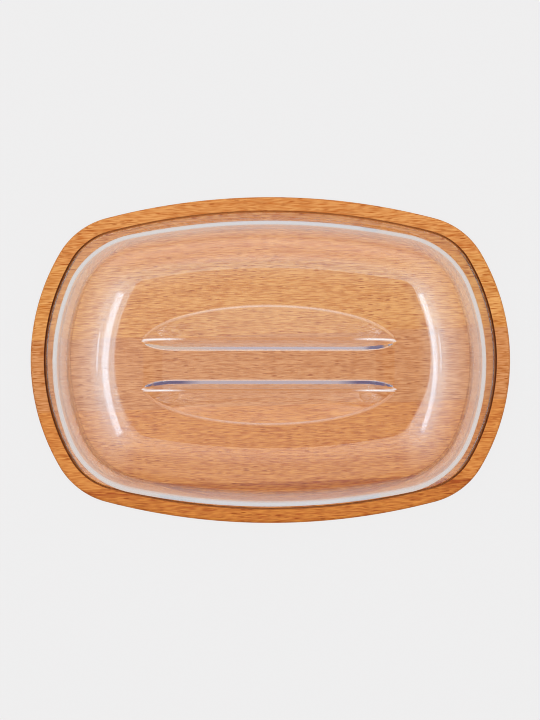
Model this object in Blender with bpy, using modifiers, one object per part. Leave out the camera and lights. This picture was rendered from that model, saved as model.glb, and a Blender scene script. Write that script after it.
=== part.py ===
"""Bread box: an edge-glued wooden board with a routed seat, and a clear moulded lid that lifts off.

Metres, +Z up, +X along the board, +Y to the back. The origin is on the ground, under the middle
of the board.
"""
import math
from collections import namedtuple

import bmesh
import bpy

# Board
BOARD_LENGTH = 0.360
BOARD_WIDTH = 0.2447
BOARD_THICKNESS = 0.018
BOARD_SIDE_RADIUS = 0.487
BOARD_END_RADIUS = 0.1583
BOARD_CORNER_RADIUS = 0.0567
BOARD_EDGE_RADIUS = 0.0025

# Staves of the board: where the glue joints cross the middle, from back to front, and their slant
JOINT_POSITIONS = (0.0752, 0.0199, -0.0343, -0.0931)
JOINT_SLANT = math.radians(1.7)
GLUE_LINE = 0.0003
LEAST_STAVE = 0.008

# Seat: the groove in the board that the lid's flange stands in
RIM_LAND = 0.0104
SEAT_DEPTH = 0.004
SEAT_PLAY = 0.001
REST_GAP = 0.0003

# Lid
LID_HEIGHT = 0.1217
WALL_THICKNESS = 0.0024
WALL_DRAFT = math.radians(7.4)
WALL_CORNER_EASE = 0.0225
FLANGE_THICKNESS = 0.0028
FLANGE_EDGE_RADIUS = 0.0012
FLANGE_END_WIDTH = 0.0124
FLANGE_SIDE_WIDTH = 0.0048
SHOULDER_HEIGHT = 0.0357
SHOULDER_END_WIDTH = 0.0464
SHOULDER_SIDE_WIDTH = 0.0402

# Finger scoops in the lid's flat top, with the grip ridge between them
RIDGE_WIDTH = 0.0182
SCOOP_DEPTH = 0.012
SCOOP_WALL_SLOPE = math.radians(31.7)
SCOOP_END_MARGIN = 0.0174
SCOOP_SIDE_MARGIN = 0.0177
SCOOP_END_RISE = 0.0217

# Fineness of the curves
END_STEPS = 5
CORNER_STEPS = 7
SIDE_STEPS = 6
SHOULDER_STEPS = 7
EDGE_STEPS = 2
SCOOP_STEPS = 28
LEAST_CORNER = 0.003
SHARP_BEND = math.radians(35)
WELD_DISTANCE = 0.000001

# How far a cutter stands past what it cuts, and how far above the flat top a scoop starts
CUT_OVERRUN = 0.003
CUT_SKIM = 0.0002

# Colours and gloss
WOOD_COLOURS = (
    (0.68, 0.27, 0.09),
    (0.72, 0.30, 0.09),
    (0.62, 0.25, 0.09),
    (0.61, 0.24, 0.07),
    (0.53, 0.18, 0.05),
)
WOOD_ROUGHNESS = 0.55
LID_COLOUR = (0.93, 0.95, 0.97)
LID_ROUGHNESS = 0.05
LID_TRANSMISSION = 0.9

# Heights and widths that follow from the driving sizes
FLANGE_BOTTOM = BOARD_THICKNESS - SEAT_DEPTH + REST_GAP
FLANGE_TOP = FLANGE_BOTTOM + FLANGE_THICKNESS
LID_TOP = FLANGE_BOTTOM + LID_HEIGHT
WALL_TOP = LID_TOP - SHOULDER_HEIGHT
WALL_RUN = math.tan(WALL_DRAFT)
WALL_SKIN = WALL_THICKNESS / math.cos(WALL_DRAFT)

# An outline is a bowed rectangle: two long arcs, two end arcs and four corner arcs, all tangent
Outline = namedtuple("Outline", "half_length half_width side_radius end_radius corner_radius")


def inset(outline, end, side):
    """The same outline drawn in by one distance at its ends and another at its long sides."""
    corner = outline.corner_radius - (end + side) / 2
    return Outline(
        outline.half_length - end,
        outline.half_width - side,
        outline.side_radius - side,
        outline.end_radius - end,
        max(corner, LEAST_CORNER),
    )


def corner_centre(outline):
    """Centre of the corner arc that touches the side arc and the end arc from inside."""
    side_y = outline.half_width - outline.side_radius
    end_x = outline.half_length - outline.end_radius
    side_reach = outline.side_radius - outline.corner_radius
    end_reach = outline.end_radius - outline.corner_radius
    apart = math.hypot(end_x, side_y)
    along = (side_reach ** 2 - end_reach ** 2 + apart ** 2) / (2 * apart)
    across = math.sqrt(side_reach ** 2 - along ** 2)
    x = (end_x * along - side_y * across) / apart
    y = side_y - (side_y * along + end_x * across) / apart
    return x, y


def arc(centre, radius, start, stop, steps):
    """Points along an arc, without its last one."""
    points = []
    for step in range(steps):
        angle = start + (stop - start) * step / steps
        points.append((centre[0] + radius * math.cos(angle), centre[1] + radius * math.sin(angle)))
    return points


def outline_points(outline):
    """Points of the whole outline, counterclockwise from +X."""
    corner = corner_centre(outline)
    end_centre = (outline.half_length - outline.end_radius, 0.0)
    side_centre = (0.0, outline.half_width - outline.side_radius)
    end_stop = math.atan2(corner[1] - end_centre[1], corner[0] - end_centre[0])
    side_start = math.atan2(corner[1] - side_centre[1], corner[0] - side_centre[0])
    quarter = arc(end_centre, outline.end_radius, 0.0, end_stop, END_STEPS)
    quarter += arc(corner, outline.corner_radius, end_stop, side_start, CORNER_STEPS)
    quarter += arc(side_centre, outline.side_radius, side_start, math.pi / 2, SIDE_STEPS)
    quarter.append((0.0, outline.half_width))
    half = quarter + [(-x, y) for x, y in reversed(quarter[:-1])]
    return half + [(x, -y) for x, y in reversed(half[1:-1])]


# Scene
def empty_scene():
    for thing in list(bpy.data.objects):
        bpy.data.objects.remove(thing)


def collection(name):
    group = bpy.data.collections.new(name)
    bpy.context.scene.collection.children.link(group)
    return group


def finish(part, colour, roughness, transmission=0.0):
    """Give an object its own material."""
    material = bpy.data.materials.new(part.name + "_finish")
    material.use_nodes = True
    shader = material.node_tree.nodes["Principled BSDF"]
    shader.inputs["Base Color"].default_value = (*colour, 1.0)
    shader.inputs["Roughness"].default_value = roughness
    shader.inputs["Metallic"].default_value = 0.0
    shader.inputs["Transmission Weight"].default_value = transmission
    part.data.materials.append(material)


def make_cutter(part):
    part.hide_render = True
    part.display_type = "WIRE"


def cut(part, cutter, operation="DIFFERENCE"):
    step = part.modifiers.new(operation.lower(), "BOOLEAN")
    step.operation = operation
    step.object = cutter
    step.solver = "EXACT"


# Ways to make a solid
def plate(name, outlines, low, high, group):
    """A flat plate from one outline, or a flat ring from two."""
    curve = bpy.data.curves.new(name, "CURVE")
    curve.dimensions = "2D"
    curve.fill_mode = "BOTH"
    curve.extrude = (high - low) / 2
    for outline in outlines:
        points = outline_points(outline)
        spline = curve.splines.new("POLY")
        spline.points.add(len(points) - 1)
        for point, (x, y) in zip(spline.points, points):
            point.co = (x, y, 0.0, 1.0)
        spline.use_cyclic_u = True
    drawn = bpy.data.objects.new(name + "_outline", curve)
    drawn.location.z = (low + high) / 2
    group.objects.link(drawn)
    bpy.context.view_layer.update()
    depsgraph = bpy.context.evaluated_depsgraph_get()
    mesh = bpy.data.meshes.new_from_object(drawn.evaluated_get(depsgraph))
    weld(mesh)
    solid = bpy.data.objects.new(name, mesh)
    solid.matrix_world = drawn.matrix_world
    group.objects.link(solid)
    bpy.data.objects.remove(drawn)
    return solid


def weld(mesh):
    """Join the loose caps of a filled curve to its sides."""
    body = bmesh.new()
    body.from_mesh(mesh)
    bmesh.ops.remove_doubles(body, verts=body.verts, dist=WELD_DISTANCE)
    bmesh.ops.recalc_face_normals(body, faces=body.faces)
    body.to_mesh(mesh)
    body.free()


def skin(name, rings, group):
    """A closed solid through rings of points, each with as many points as the next."""
    body = bmesh.new()
    loops = [[body.verts.new(point) for point in ring] for ring in rings]
    for lower, upper in zip(loops, loops[1:]):
        for here in range(len(lower)):
            after = (here + 1) % len(lower)
            body.faces.new((lower[here], lower[after], upper[after], upper[here]))
    body.faces.new(reversed(loops[0]))
    body.faces.new(loops[-1])
    bmesh.ops.remove_doubles(body, verts=body.verts, dist=WELD_DISTANCE)
    bmesh.ops.recalc_face_normals(body, faces=body.faces)
    mesh = bpy.data.meshes.new(name)
    body.to_mesh(mesh)
    body.free()
    solid = bpy.data.objects.new(name, mesh)
    group.objects.link(solid)
    return solid


def loft(name, sections, group):
    """A closed solid through outlines, each at its height, from the lowest to the highest."""
    rings = []
    for outline, height in sections:
        rings.append([(x, y, height) for x, y in outline_points(outline)])
    return skin(name, rings, group)


# Outlines of the pieces, each drawn from the one before
def board_outline():
    return Outline(
        BOARD_LENGTH / 2,
        BOARD_WIDTH / 2,
        BOARD_SIDE_RADIUS,
        BOARD_END_RADIUS,
        BOARD_CORNER_RADIUS,
    )


def groove_outline():
    return inset(board_outline(), RIM_LAND, RIM_LAND)


def flange_outline():
    return inset(groove_outline(), SEAT_PLAY, SEAT_PLAY)


def wall_foot_outline():
    """Outside of the lid's wall where it meets the flange: rounder at the corners."""
    flange = flange_outline()
    return Outline(
        flange.half_length - FLANGE_END_WIDTH,
        flange.half_width - FLANGE_SIDE_WIDTH,
        flange.side_radius,
        flange.end_radius,
        flange.corner_radius + WALL_CORNER_EASE,
    )


def wall_outline(height, depth=0.0):
    """The wall's outline at a height, or that far inside its outer face."""
    drawn_in = (height - FLANGE_TOP) * WALL_RUN + depth
    return inset(wall_foot_outline(), drawn_in, drawn_in)


def top_outline():
    return inset(wall_outline(WALL_TOP), SHOULDER_END_WIDTH, SHOULDER_SIDE_WIDTH)


def table_outline():
    """The raised middle of the board, inside the lid's foot."""
    return inset(wall_outline(BOARD_THICKNESS, WALL_SKIN), SEAT_PLAY, SEAT_PLAY)


# Board
def board_blank(group):
    """The whole board with its rounded edges and its groove, before it is parted into staves."""
    blank = plate("board_blank", [board_outline()], 0.0, BOARD_THICKNESS, group)
    rounding = blank.modifiers.new("edges", "BEVEL")
    rounding.width = BOARD_EDGE_RADIUS
    rounding.segments = EDGE_STEPS
    rounding.limit_method = "ANGLE"
    rounding.angle_limit = SHARP_BEND
    floor = BOARD_THICKNESS - SEAT_DEPTH
    ring = [groove_outline(), table_outline()]
    groove = plate("groove_cutter", ring, floor, BOARD_THICKNESS + CUT_OVERRUN, group)
    make_cutter(groove)
    make_cutter(blank)
    cut(blank, groove)
    return blank


def stave_edges():
    """Back and front edge of each stave, measured across the middle of the board."""
    half = BOARD_WIDTH / 2
    spare = BOARD_LENGTH / 2 * math.tan(JOINT_SLANT) + CUT_OVERRUN
    joints = [y for y in JOINT_POSITIONS if abs(y) < half - LEAST_STAVE]
    backs = [half + spare] + [y - GLUE_LINE / 2 for y in joints]
    fronts = [y + GLUE_LINE / 2 for y in joints] + [-half - spare]
    return zip(backs, fronts)


def make_staves(group, cutters):
    """Each stave is a straight sawn strip, trimmed to the board."""
    blank = board_blank(cutters)
    length = math.hypot(BOARD_LENGTH, BOARD_WIDTH)
    for number, (back, front) in enumerate(stave_edges(), start=1):
        strip = bmesh.new()
        bmesh.ops.create_cube(strip, size=1.0)
        width = (back - front) * math.cos(JOINT_SLANT)
        size = (length, width, BOARD_THICKNESS + 2 * CUT_OVERRUN)
        bmesh.ops.scale(strip, vec=size, verts=strip.verts)
        mesh = bpy.data.meshes.new(f"board_stave_{number}")
        strip.to_mesh(mesh)
        strip.free()
        stave = bpy.data.objects.new(mesh.name, mesh)
        stave.location = (0.0, (back + front) / 2, BOARD_THICKNESS / 2)
        stave.rotation_euler.z = JOINT_SLANT
        group.objects.link(stave)
        cut(stave, blank, "INTERSECT")
        finish(stave, WOOD_COLOURS[(number - 1) % len(WOOD_COLOURS)], WOOD_ROUGHNESS)


# Lid
def shoulder_sections(depth=0.0):
    """Outlines up the rounded shoulder, or that far inside its outer face."""
    foot = wall_outline(WALL_TOP)
    first = WALL_DRAFT
    sections = []
    for step in range(SHOULDER_STEPS + 1):
        lean = first + (math.pi / 2 - first) * step / SHOULDER_STEPS
        across = 1 - math.cos(lean) / math.cos(first)
        rise = (math.sin(lean) - math.sin(first)) / (1 - math.sin(first))
        end = across * SHOULDER_END_WIDTH + depth * math.cos(lean)
        side = across * SHOULDER_SIDE_WIDTH + depth * math.cos(lean)
        height = WALL_TOP + rise * SHOULDER_HEIGHT - depth * math.sin(lean)
        sections.append((inset(foot, end, side), height))
    return sections


def flange_sections():
    """Outlines round the flange's rounded edge, from its underside to its upper face."""
    flange = flange_outline()
    lower_centre = FLANGE_BOTTOM + FLANGE_EDGE_RADIUS
    upper_centre = FLANGE_TOP - FLANGE_EDGE_RADIUS
    sections = []
    for centre, start in ((lower_centre, -math.pi / 2), (upper_centre, 0.0)):
        for step in range(EDGE_STEPS + 1):
            angle = start + math.pi / 2 * step / EDGE_STEPS
            drawn_in = FLANGE_EDGE_RADIUS * (1 - math.cos(angle))
            height = centre + FLANGE_EDGE_RADIUS * math.sin(angle)
            sections.append((inset(flange, drawn_in, drawn_in), height))
    return sections


def lid_core(group):
    """The space inside the lid, with the undersides of the finger scoops left standing in it."""
    mouth = FLANGE_BOTTOM - CUT_OVERRUN
    sections = [(wall_outline(mouth, WALL_SKIN), mouth)] + shoulder_sections(WALL_THICKNESS)
    core = loft("lid_core", sections, group)
    make_cutter(core)
    return core


# Finger scoops. A scoop is a crescent trough: a straight foot line, a steep wall up to the ridge,
# and a floor that climbs to an elliptical arc in the flat top
Scoop = namedtuple("Scoop", "foot_y depth tip_x arc_y end_rise")


def open_scoop():
    top = top_outline()
    return Scoop(
        RIDGE_WIDTH / 2 + SCOOP_DEPTH * math.tan(SCOOP_WALL_SLOPE),
        SCOOP_DEPTH,
        top.half_length - SCOOP_END_MARGIN,
        top.half_width - SCOOP_SIDE_MARGIN,
        SCOOP_END_RISE,
    )


def thickened(scoop):
    """The scoop grown by the wall's thickness on every side, which is its underside."""
    climb = math.atan2(scoop.depth, scoop.arc_y - scoop.foot_y)
    wall_normal = (-math.cos(SCOOP_WALL_SLOPE), -math.sin(SCOOP_WALL_SLOPE))
    floor_normal = (math.sin(climb), -math.cos(climb))
    facing = wall_normal[0] * floor_normal[0] + wall_normal[1] * floor_normal[1]
    share = WALL_THICKNESS / (1 + facing)
    return Scoop(
        scoop.foot_y + share * (wall_normal[0] + floor_normal[0]),
        scoop.depth - share * (wall_normal[1] + floor_normal[1]),
        scoop.tip_x + WALL_THICKNESS,
        scoop.arc_y + WALL_THICKNESS / math.sin(climb),
        scoop.end_rise + WALL_THICKNESS,
    )


def scoop_cutter(name, scoop, group):
    """One trough as a solid that stands up through the flat top, mirrored for the other side."""
    skim = LID_TOP + CUT_SKIM
    brim = LID_TOP + CUT_OVERRUN
    wall_run = math.tan(SCOOP_WALL_SLOPE)
    ridge_y = scoop.foot_y - scoop.depth * wall_run
    bulge = scoop.arc_y - ridge_y
    half_arc = scoop.tip_x / math.sqrt(1 - ((scoop.foot_y - ridge_y) / bulge) ** 2)
    rings = []
    for step in range(SCOOP_STEPS + 1):
        x = -scoop.tip_x * math.cos(math.pi * step / SCOOP_STEPS)
        climb = max(0.0, (abs(x) - scoop.tip_x + scoop.end_rise) / scoop.end_rise)
        level = math.sqrt(max(0.0, 1 - climb ** 2))
        below = (scoop.depth + CUT_SKIM) * level
        wall_y = scoop.foot_y - below * wall_run
        arc_y = ridge_y + bulge * math.sqrt(1 - (x / half_arc) ** 2)
        rings.append([
            (x, wall_y, brim),
            (x, wall_y, skim),
            (x, scoop.foot_y, skim - below),
            (x, arc_y, skim),
            (x, arc_y, brim),
        ])
    trough = skin(name, rings, group)
    pair = trough.modifiers.new("pair", "MIRROR")
    pair.use_axis = (False, True, False)
    pair.merge_threshold = WELD_DISTANCE
    make_cutter(trough)
    return trough


def make_lid(group, cutters):
    """The lid: its outer form, less the space inside it, less the two scoops."""
    foot = [(wall_foot_outline(), FLANGE_TOP)]
    lid = loft("lid", flange_sections() + foot + shoulder_sections(), group)
    core = lid_core(cutters)
    scoop = open_scoop()
    cut(core, scoop_cutter("scoop_underside", thickened(scoop), cutters))
    cut(lid, core)
    cut(lid, scoop_cutter("scoop_cutter", scoop, cutters))
    finish(lid, LID_COLOUR, LID_ROUGHNESS, LID_TRANSMISSION)


def shade_round(group):
    """Smooth shading between shallow facets, and sharp edges elsewhere."""
    for part in group.objects:
        part.data.shade_smooth()
        part.data.set_sharp_from_angle(angle=SHARP_BEND)


def main():
    empty_scene()
    parts = collection("bread_box")
    cutters = collection("cutters")
    make_staves(parts, cutters)
    make_lid(parts, cutters)
    shade_round(parts)


main()
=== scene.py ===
# %% [markdown]
# # A bread box with a clear lid
# The box is a beech board glued from five staves, with a groove near its rim, and a clear moulded
# lid whose flange stands in the groove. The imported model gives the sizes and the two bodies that
# move. This script adds the fine surfaces, the finishes, the light and the camera.

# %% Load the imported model
import math
from collections import namedtuple

import bmesh
import bpy
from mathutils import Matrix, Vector


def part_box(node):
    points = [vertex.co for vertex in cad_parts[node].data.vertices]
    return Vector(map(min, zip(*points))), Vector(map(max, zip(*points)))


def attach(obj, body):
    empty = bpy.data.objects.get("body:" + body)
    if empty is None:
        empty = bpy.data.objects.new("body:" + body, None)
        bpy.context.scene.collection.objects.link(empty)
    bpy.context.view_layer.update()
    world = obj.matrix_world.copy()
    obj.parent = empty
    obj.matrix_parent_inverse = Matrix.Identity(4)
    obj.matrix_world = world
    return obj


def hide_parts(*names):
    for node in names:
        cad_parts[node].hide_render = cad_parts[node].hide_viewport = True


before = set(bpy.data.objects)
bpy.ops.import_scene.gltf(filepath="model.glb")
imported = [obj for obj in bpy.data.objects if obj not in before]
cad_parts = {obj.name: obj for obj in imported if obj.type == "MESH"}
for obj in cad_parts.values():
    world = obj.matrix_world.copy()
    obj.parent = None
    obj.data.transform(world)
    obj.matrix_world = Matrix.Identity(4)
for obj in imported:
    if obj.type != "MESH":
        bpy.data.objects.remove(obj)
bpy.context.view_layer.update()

# %% [markdown]
# ## Sizes from the model
# The board's and the lid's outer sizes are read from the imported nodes, so the fine surfaces lie
# where the solids do. Radii and thicknesses that a box can't tell are written here once, in metres.

# %% Read the board and the lid
STAVES = 5
stave_boxes = [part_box(f"board_stave_{number}") for number in range(1, STAVES + 1)]
board_half_length = max(high[0] for low, high in stave_boxes)
board_half_width = stave_boxes[0][1][1]
board_top = stave_boxes[0][1][2]
lid_low, lid_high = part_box("lid")
flange_bottom = lid_low[2]
lid_top = lid_high[2]
print(f"board {2000 * board_half_length:.1f} x {2000 * board_half_width:.1f} mm")
print(f"board {1000 * board_top:.1f} mm thick")
print(f"lid from {1000 * flange_bottom:.1f} to {1000 * lid_top:.1f} mm")

# %% [markdown]
# ## Bowed outlines
# Board, groove, flange and wall all have the same kind of outline: a rectangle with bowed sides and
# round corners. It could be drawn as a spline, but three kinds of arc that touch each other
# smoothly hold the shape with five sizes, and an inset keeps every ring parallel to the next.

# %% Draw an outline with three kinds of arc
Outline = namedtuple("Outline", "half_length half_width side_radius end_radius corner_radius")
ARC_STEPS = {"end": 18, "corner": 26, "side": 28}
LEAST_CORNER = 0.003


def inset(outline, end, side=None):
    """The same outline drawn in by one distance at its ends and another at its long sides."""
    side = end if side is None else side
    corner = outline.corner_radius - (end + side) / 2
    return Outline(
        outline.half_length - end,
        outline.half_width - side,
        outline.side_radius - side,
        outline.end_radius - end,
        max(corner, LEAST_CORNER),
    )


def corner_centre(outline):
    """Centre of the corner arc that touches the side arc and the end arc from inside."""
    side_y = outline.half_width - outline.side_radius
    end_x = outline.half_length - outline.end_radius
    side_reach = outline.side_radius - outline.corner_radius
    end_reach = outline.end_radius - outline.corner_radius
    apart = math.hypot(end_x, side_y)
    along = (side_reach ** 2 - end_reach ** 2 + apart ** 2) / (2 * apart)
    across = math.sqrt(side_reach ** 2 - along ** 2)
    x = (end_x * along - side_y * across) / apart
    y = side_y - (side_y * along + end_x * across) / apart
    return x, y


def arc(centre, radius, start, stop, steps):
    """Points along an arc, without its last one."""
    angles = [start + (stop - start) * step / steps for step in range(steps)]
    return [(centre[0] + radius * math.cos(a), centre[1] + radius * math.sin(a)) for a in angles]


def outline_points(outline):
    """Points of the whole outline, counterclockwise from +X."""
    corner = corner_centre(outline)
    end_centre = (outline.half_length - outline.end_radius, 0.0)
    side_centre = (0.0, outline.half_width - outline.side_radius)
    end_stop = math.atan2(corner[1] - end_centre[1], corner[0] - end_centre[0])
    side_start = math.atan2(corner[1] - side_centre[1], corner[0] - side_centre[0])
    quarter = arc(end_centre, outline.end_radius, 0.0, end_stop, ARC_STEPS["end"])
    quarter += arc(corner, outline.corner_radius, end_stop, side_start, ARC_STEPS["corner"])
    quarter += arc(side_centre, outline.side_radius, side_start, math.pi / 2, ARC_STEPS["side"])
    quarter.append((0.0, outline.half_width))
    half = quarter + [(-x, y) for x, y in reversed(quarter[:-1])]
    return half + [(x, -y) for x, y in reversed(half[1:-1])]


board_outline = Outline(board_half_length, board_half_width, 0.487, 0.1583, 0.0567)
print("points round an outline:", len(outline_points(board_outline)))

# %% [markdown]
# ## Rings and rounded edges
# Each surface is a stack of rings, one outline at one height, joined by faces. A rounded edge is a
# few rings along a quarter arc. A bevel would do it too, but rings keep the faces in neat rows, and
# a clear piece shows every uneven face as a ripple.

# %% Make rings round an edge and join rings
EDGE_STEPS = 6
HAIR = 0.0002


def rolled(outline, height, radius, start, stop, way=1, steps=EDGE_STEPS):
    """Rings along an arc about a height, in degrees. With way -1 the arc swings outward."""
    rings = []
    for step in range(steps + 1):
        angle = math.radians(start + (stop - start) * step / steps)
        drawn_in = way * radius * (1 - math.cos(angle))
        rings.append((inset(outline, drawn_in), height + radius * math.sin(angle)))
    return rings


def join_rings(body, rings):
    """Faces between each ring and the next, and the loops of points."""
    loops = []
    for outline, height in rings:
        loops.append([body.verts.new((x, y, height)) for x, y in outline_points(outline)])
    for lower, upper in zip(loops, loops[1:]):
        for here in range(len(lower)):
            after = (here + 1) % len(lower)
            body.faces.new((lower[here], lower[after], upper[after], upper[here]))
    return loops


def piece_from(body, name, sharp=35):
    """An object from a bmesh, smooth but for bends over an angle in degrees, or marked edges."""
    bmesh.ops.recalc_face_normals(body, faces=body.faces)
    mesh = bpy.data.meshes.new(name)
    body.to_mesh(mesh)
    body.free()
    if sharp:
        mesh.shade_smooth()
        mesh.set_sharp_from_angle(angle=math.radians(sharp))
    piece = bpy.data.objects.new(name, mesh)
    bpy.context.scene.collection.objects.link(piece)
    return piece


# %% [markdown]
# ## The lid's sections
# The wall leans in, then rolls over an oval shoulder into the flat top. The inside follows the same
# sections one wall thickness further in, as a mould's core does.

# %% Wall and shoulder
WALL_THICKNESS = 0.0024
WALL_DRAFT = math.radians(7.4)
WALL_RUN = math.tan(WALL_DRAFT)
WALL_SKIN = WALL_THICKNESS / math.cos(WALL_DRAFT)
FLANGE_THICKNESS = 0.0028
FLANGE_EDGE = 0.0012
FLANGE_END_WIDTH = 0.0124
FLANGE_SIDE_WIDTH = 0.0043
SHOULDER_HEIGHT = 0.0357
SHOULDER_END_WIDTH = 0.0503
SHOULDER_SIDE_WIDTH = 0.0430
SHOULDER_STEPS = 44
WALL_STEPS = 10
WALL_CORNER_MORE = 0.0225
SEAT_GAP = 0.001

rim_land = board_half_length - lid_high[0] - SEAT_GAP
groove_outline = inset(board_outline, rim_land)
flange_outline = inset(groove_outline, SEAT_GAP)
flange_top = flange_bottom + FLANGE_THICKNESS
wall_top = lid_top - SHOULDER_HEIGHT
wall_foot = Outline(
    flange_outline.half_length - FLANGE_END_WIDTH,
    flange_outline.half_width - FLANGE_SIDE_WIDTH,
    flange_outline.side_radius,
    flange_outline.end_radius,
    flange_outline.corner_radius + WALL_CORNER_MORE,
)


def wall_outline(height, depth=0.0):
    """The wall's outline at a height, or that far inside its outer face."""
    return inset(wall_foot, (height - flange_top) * WALL_RUN + depth)


def wall_rings(low, high, depth=0.0):
    rings = []
    for step in range(WALL_STEPS):
        height = low + (high - low) * step / WALL_STEPS
        rings.append((wall_outline(height, depth), height))
    return rings


def shoulder_rings(depth=0.0):
    """Rings up the shoulder to the flat top, or that far inside its outer face."""
    foot = wall_outline(wall_top)
    rings = []
    for step in range(SHOULDER_STEPS + 1):
        lean = WALL_DRAFT + (math.pi / 2 - WALL_DRAFT) * step / SHOULDER_STEPS
        across = 1 - math.cos(lean) / math.cos(WALL_DRAFT)
        rise = (math.sin(lean) - math.sin(WALL_DRAFT)) / (1 - math.sin(WALL_DRAFT))
        end = across * SHOULDER_END_WIDTH + depth * math.cos(lean)
        side = across * SHOULDER_SIDE_WIDTH + depth * math.cos(lean)
        height = wall_top + rise * SHOULDER_HEIGHT - depth * math.sin(lean)
        rings.append((inset(foot, end, side), height))
    return rings


flat_top = shoulder_rings()[-1][0]
print(f"flat top {2000 * flat_top.half_length:.1f} x {2000 * flat_top.half_width:.1f} mm")

# %% [markdown]
# ## The flange
# The flange's edge is round, and a small fillet leads from its upper face into the wall. The foot of
# the wall inside is square but for a hair of rounding, where the mould's halves met.

# %% Flange and foot
FOOT_FILLET = 0.0025
INNER_EDGE = 0.0004


def flange_rings():
    """Rings from the wall's inner foot, under the flange and round its edge, up to the wall."""
    inner_foot = wall_outline(flange_bottom, WALL_SKIN)
    rings = rolled(inner_foot, flange_bottom + INNER_EDGE, INNER_EDGE, 0, -90, way=-1, steps=3)
    rings.append((inset(inner_foot, -INNER_EDGE - HAIR), flange_bottom))
    rings.append((inset(flange_outline, FLANGE_EDGE + HAIR), flange_bottom))
    rings += rolled(flange_outline, flange_bottom + FLANGE_EDGE, FLANGE_EDGE, -90, 0)
    rings += rolled(flange_outline, flange_top - FLANGE_EDGE, FLANGE_EDGE, 0, 90)
    rings.append((inset(flange_outline, FLANGE_EDGE + HAIR), flange_top))
    rings.append((inset(wall_foot, -FOOT_FILLET - HAIR), flange_top))
    centre = FOOT_FILLET * WALL_RUN - FOOT_FILLET / math.cos(WALL_DRAFT)
    for step in range(EDGE_STEPS + 1):
        angle = -math.pi / 2 + (math.pi / 2 - WALL_DRAFT) * step / EDGE_STEPS
        drawn_in = centre + FOOT_FILLET * math.cos(angle)
        rings.append((inset(wall_foot, drawn_in), flange_top + FOOT_FILLET * (1 + math.sin(angle))))
    return rings


print("flange rings:", len(flange_rings()))

# %% [markdown]
# ## Finger scoops
# Each scoop is a crescent trough beside the grip ridge: a steep straight wall, a foot line, and a
# floor that climbs to an oval arc in the flat top. Cutting it with a Boolean leaves ragged edges to
# round, so its sections are drawn one by one from tip to tip, each with its three fillets. Folds
# scatter a little light, so each point also gets a share of haze, which the clear finish reads. The
# same share paints highlights as white lines along the folds, stronger on the back scoop's arc, and a
# painted reflection on the back scoop's floor.

# %% Sections of a scoop
Scoop = namedtuple("Scoop", "edge_y foot_y depth tip_x arc_y end_rise fillets")
RIDGE_WIDTH = 0.0226
SCOOP_DEPTH = 0.012
SCOOP_TIP = 0.0803
SCOOP_REACH = 0.0373
SCOOP_FOOT = 0.0165
SCOOP_END_RISE = 0.0217
SCOOP_FILLETS = (0.0030, 0.0010, 0.0030)
UNDERSIDE_FILLETS = (0.0006, 0.0030, 0.0030)
SCOOP_STATIONS = 150
FILLET_STEPS = 6
FACE_STEPS = 3
SCOOP_MARGIN = 0.0004
# Shares of white on the scoops: haze, and painted highlights on the folds; the floor share is only a painted
# reflection.
ARC_HAZE_AND_SHEEN = {1: 0.12, -1: 0.06}
FLOOR_SHEEN = 0.025
FOOT_HAZE_AND_SHEEN = 0.40
FOOT_HAZE_AND_SHEEN_FROM = 0.66
FOOT_HAZE_AND_SHEEN_BLEND = 0.2
EDGE_HAZE_AND_SHEEN = 0.20

scoop_above = Scoop(
    RIDGE_WIDTH / 2,
    SCOOP_FOOT,
    SCOOP_DEPTH,
    SCOOP_TIP,
    SCOOP_REACH,
    SCOOP_END_RISE,
    SCOOP_FILLETS,
)


def scoop_below(scoop):
    """The scoop's underside: grown by the wall's thickness on every side."""
    steep = math.atan2(scoop.foot_y - scoop.edge_y, scoop.depth)
    climb = math.atan2(scoop.depth, scoop.arc_y - scoop.foot_y)
    wall_normal = Vector((-math.cos(steep), -math.sin(steep)))
    floor_normal = Vector((math.sin(climb), -math.cos(climb)))
    step = (wall_normal + floor_normal) * WALL_THICKNESS / (1 + wall_normal.dot(floor_normal))
    return Scoop(
        scoop.edge_y - WALL_THICKNESS * (1 - math.sin(steep)) / math.cos(steep),
        scoop.foot_y + step.x,
        scoop.depth - step.y - WALL_THICKNESS,
        scoop.tip_x + WALL_THICKNESS / 2,
        scoop.arc_y + WALL_THICKNESS * math.tan(climb / 2),
        scoop.end_rise,
        UNDERSIDE_FILLETS,
    )


def rounded_section(corners, radii):
    """A line of corners with a fillet at each inner corner, shrunk where the faces are short."""
    turns = []
    for before, here, after in zip(corners, corners[1:], corners[2:]):
        turns.append((here - before).angle(after - here, 0.0))
    reach = [radius * math.tan(turn / 2) for radius, turn in zip(radii, turns)]
    lengths = [(b - a).length for a, b in zip(corners, corners[1:])]
    room = [lengths[n] / max(reach[n - 1] + reach[n], 1e-9) for n in range(1, len(lengths) - 1)]
    shrink = min([0.92 * r for r in room] + [1.0])
    points = [corners[0]]
    for n, here in enumerate(corners[1:-1]):
        away = (corners[n] - here).normalized() * reach[n] * shrink
        onward = (corners[n + 2] - here).normalized() * reach[n] * shrink
        start, stop = here + away, here + onward
        points += [points[-1].lerp(start, k / FACE_STEPS) for k in range(1, FACE_STEPS)]
        for k in range(FILLET_STEPS + 1):
            t = k / FILLET_STEPS
            points.append(start.lerp(here, t).lerp(here.lerp(stop, t), t))
    points += [points[-1].lerp(corners[-1], k / FACE_STEPS) for k in range(1, FACE_STEPS + 1)]
    return points


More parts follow.
